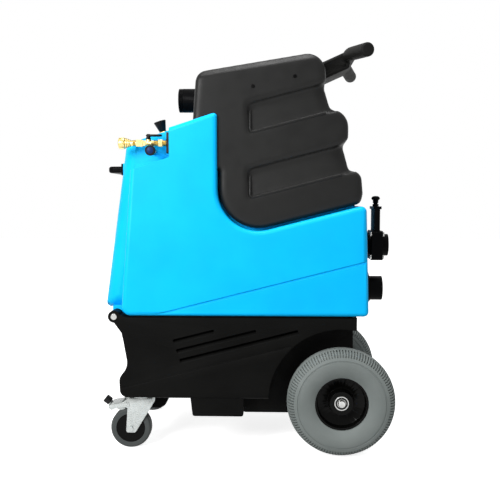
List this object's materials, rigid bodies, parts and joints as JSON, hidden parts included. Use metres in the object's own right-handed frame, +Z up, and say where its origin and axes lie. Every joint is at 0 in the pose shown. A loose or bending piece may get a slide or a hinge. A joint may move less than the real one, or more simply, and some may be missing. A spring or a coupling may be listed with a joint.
{
  "type": "portable carpet extractor",
  "caption": "Upright wheeled carpet cleaner with a hinged solution-tank body, a scooped recovery tank, vacuum and drain ports, a push handle, rear wheels and braked casters.",
  "frame": {"origin": "on the floor, at the middle of the machine's length and width", "axes": "-X is forward (casters), -Y is the machine's left side, +Z is up"},
  "size_m": [0.7304, 0.49, 1.0129],
  "materials": {
    "base_black": "rotomoulded, fine orange peel",
    "body_blue": "rotomoulded blue polyethylene, satin",
    "tank_black": "rotomoulded black polyethylene, fine grain",
    "fitting_black": "moulded, satin",
    "rim_black": "moulded, satin",
    "tyre_grey": "grey non-marking rubber",
    "caster_tread": "grey rubber",
    "zinc_steel": "bright zinc plate",
    "steel": "turned",
    "dark_screws": "black oxide",
    "brass": "machined",
    "knob_black": "moulded",
    "rocker_black": "moulded",
    "plate_metal": "black paint",
    "seal_rubber": "moulded",
    "pipe_white": "extruded",
    "float_foam": "closed-cell foam",
    "plenum_grey": "moulded",
    "motor_metal": "as formed",
    "pump_motor_metal": "grey paint",
    "pump_brass": "cast"
  },
  "bodies": {
    "base": {"base_tub": "base_black", "rear_axle": "steel", "axle_spacers": "steel", "axle_caps": "steel", "hinge_pin": "steel", "vacuum_motor_left": "motor_metal", "vacuum_motor_right": "motor_metal", "vacuum_plenum": "plenum_grey", "plenum_gasket": "seal_rubber", "pump_motor": "pump_motor_metal", "pump_head": "pump_brass", "caster_plates": "zinc_steel", "caster_bolts": "zinc_steel"},
    "upper": {"solution_tank": "body_blue", "recovery_tank": "tank_black", "standpipe": "pipe_white", "inlet_cuff": "fitting_black", "push_handle": "tank_black", "handle_bolts": "dark_screws", "pan_head_screws": "dark_screws", "bulkhead_plate": "plate_metal", "hex_nipple": "brass", "ball_valve": "brass", "coupler_body": "brass", "prime_valve": "brass", "regulator_valve": "brass", "lift_handle": "fitting_black", "gate_valve": "fitting_black", "gate_bonnet": "fitting_black", "gate_bolts": "steel", "exhaust_port": "fitting_black", "switch_panel": "fitting_black"},
    "lid": {"tank_lid": "tank_black", "lid_gasket": "seal_rubber"},
    "float": {"float_collar": "float_foam"},
    "fill_cap": {"fill_cap": "fitting_black"},
    "lever": {"valve_lever": "knob_black"},
    "sleeve": {"coupler_sleeve": "brass"},
    "prime_knob": {"prime_knob": "knob_black"},
    "regulator_knob": {"regulator_knob": "knob_black"},
    "blade": {"gate_blade": "fitting_black"},
    "rocker_1": {"rocker_1": "rocker_black"},
    "rocker_2": {"rocker_2": "rocker_black"},
    "rocker_3": {"rocker_3": "rocker_black"},
    "rear_wheel_left": {"rear_tyre_left": "tyre_grey", "rear_rim_left": "rim_black", "wheel_bearings_left": "steel"},
    "caster_left": {"caster_fork_left": "zinc_steel", "caster_axle_left": "zinc_steel"},
    "caster_wheel_left": {"caster_core_left": "rim_black", "caster_tyre_left": "caster_tread"},
    "brake_left": {"brake_pedal_left": "zinc_steel"},
    "rear_wheel_right": {"rear_tyre_right": "tyre_grey", "rear_rim_right": "rim_black", "wheel_bearings_right": "steel"},
    "caster_right": {"caster_fork_right": "zinc_steel", "caster_axle_right": "zinc_steel"},
    "caster_wheel_right": {"caster_core_right": "rim_black", "caster_tyre_right": "caster_tread"},
    "brake_right": {"brake_pedal_right": "zinc_steel"}
  },
  "joints": [
    {"name": "body_hinge", "type": "hinge", "parent": "base", "child": "upper", "pos_m": [-0.32675, 0, 0.34], "axis": [0, -1, 0], "range_deg": [0, 75]},
    {"name": "rear_wheel_left_spin", "type": "hinge", "parent": "base", "child": "rear_wheel_left", "pos_m": [0.23225, -0.203, 0.133], "axis": [0, 1, 0], "continuous": true},
    {"name": "caster_left_swivel", "type": "hinge", "parent": "base", "child": "caster_left", "pos_m": [-0.26675, -0.16, 0.128], "axis": [0, 0, 1], "continuous": true},
    {"name": "caster_left_spin", "type": "hinge", "parent": "caster_left", "child": "caster_wheel_left", "pos_m": [-0.29475, -0.16, 0.051], "axis": [0, 1, 0], "continuous": true},
    {"name": "brake_left_press", "type": "hinge", "parent": "caster_left", "child": "brake_left", "pos_m": [-0.30475, -0.16, 0.114], "axis": [0, -1, 0], "range_deg": [0, 8]},
    {"name": "rear_wheel_right_spin", "type": "hinge", "parent": "base", "child": "rear_wheel_right", "pos_m": [0.23225, 0.203, 0.133], "axis": [0, 1, 0], "continuous": true},
    {"name": "caster_right_swivel", "type": "hinge", "parent": "base", "child": "caster_right", "pos_m": [-0.26675, 0.16, 0.128], "axis": [0, 0, 1], "continuous": true},
    {"name": "caster_right_spin", "type": "hinge", "parent": "caster_right", "child": "caster_wheel_right", "pos_m": [-0.29475, 0.16, 0.051], "axis": [0, 1, 0], "continuous": true},
    {"name": "brake_right_press", "type": "hinge", "parent": "caster_right", "child": "brake_right", "pos_m": [-0.30475, 0.16, 0.114], "axis": [0, -1, 0], "range_deg": [0, 8]},
    {"name": "lid_lift", "type": "slide", "parent": "upper", "child": "lid", "axis": [-0.1564, 0, 0.9877], "range_m": [0, 0.15]},
    {"name": "fill_cap_lift", "type": "slide", "parent": "upper", "child": "fill_cap", "axis": [-0.304, 0, 0.9527], "range_m": [0, 0.08]},
    {"name": "float_rise", "type": "slide", "parent": "upper", "child": "float", "axis": [0, 0, 1], "range_m": [0, 0.055]},
    {"name": "lever_turn", "type": "hinge", "parent": "upper", "child": "lever", "pos_m": [-0.23875, -0.195, 0.7831], "axis": [0, 0, -1], "range_deg": [0, 90]},
    {"name": "sleeve_pull", "type": "slide", "parent": "upper", "child": "sleeve", "axis": [1, 0, 0], "range_m": [0, 0.006], "stiffness_N_per_m": 900},
    {"name": "prime_turn", "type": "hinge", "parent": "upper", "child": "prime_knob", "pos_m": [-0.23175, -0.212, 0.746], "axis": [0, 1, 0], "range_deg": [0, 270]},
    {"name": "regulator_turn", "type": "hinge", "parent": "upper", "child": "regulator_knob", "pos_m": [-0.21275, -0.12, 0.79268], "axis": [-0.304, 0, 0.9527], "range_deg": [0, 300]},
    {"name": "blade_pull", "type": "slide", "parent": "upper", "child": "blade", "axis": [0, 0, 1], "range_m": [0, 0.05]},
    {"name": "rocker_1_press", "type": "hinge", "parent": "upper", "child": "rocker_1", "pos_m": [-0.20957, -0.046, 0.79999], "axis": [0, -1, 0], "range_deg": [0, 14]},
    {"name": "rocker_2_press", "type": "hinge", "parent": "upper", "child": "rocker_2", "pos_m": [-0.20957, -0.012, 0.79999], "axis": [0, -1, 0], "range_deg": [0, 14]},
    {"name": "rocker_3_press", "type": "hinge", "parent": "upper", "child": "rocker_3", "pos_m": [-0.20957, 0.022, 0.79999], "axis": [0, -1, 0], "range_deg": [0, 14]}
  ]
}
